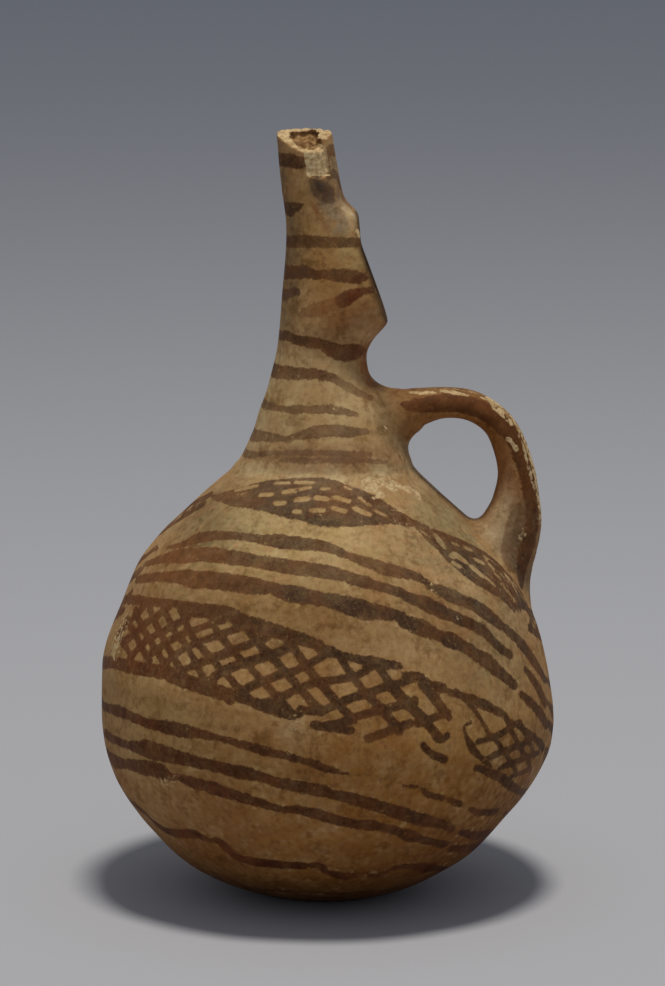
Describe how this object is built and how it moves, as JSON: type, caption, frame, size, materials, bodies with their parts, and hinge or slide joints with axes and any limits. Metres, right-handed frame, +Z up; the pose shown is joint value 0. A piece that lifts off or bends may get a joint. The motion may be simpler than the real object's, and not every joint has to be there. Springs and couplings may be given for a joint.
{
  "type": "beak-spouted jug",
  "caption": "Round-bodied pottery jug with a tall narrow neck, a cutaway mouth drawn out into a tubular beak spout, and a loop handle from neck to shoulder.",
  "frame": {"origin": "middle of the small flat that the jug rests on", "axes": "+Z up through the neck; +X towards the handle; the beak spout leans towards -X; Y across the jug"},
  "size_m": [0.1176, 0.1176, 0.1983],
  "materials": {
    "painted_slip": "matt buff slip with dark brown painted bands and lattices, worn in places",
    "bare_clay": "matt unslipped clay"
  },
  "bodies": {
    "root": {"base_bowl": "painted_slip", "shoulder_dome": "painted_slip", "belly_seam_coil": "bare_clay", "neck_foot_coil": "painted_slip", "neck_tube": "painted_slip", "cutaway_mouth": "painted_slip", "spout_tube": "painted_slip", "handle_loop": "painted_slip", "handle_upper_luting": "painted_slip", "handle_lower_luting": "painted_slip"}
  },
  "joints": []
}
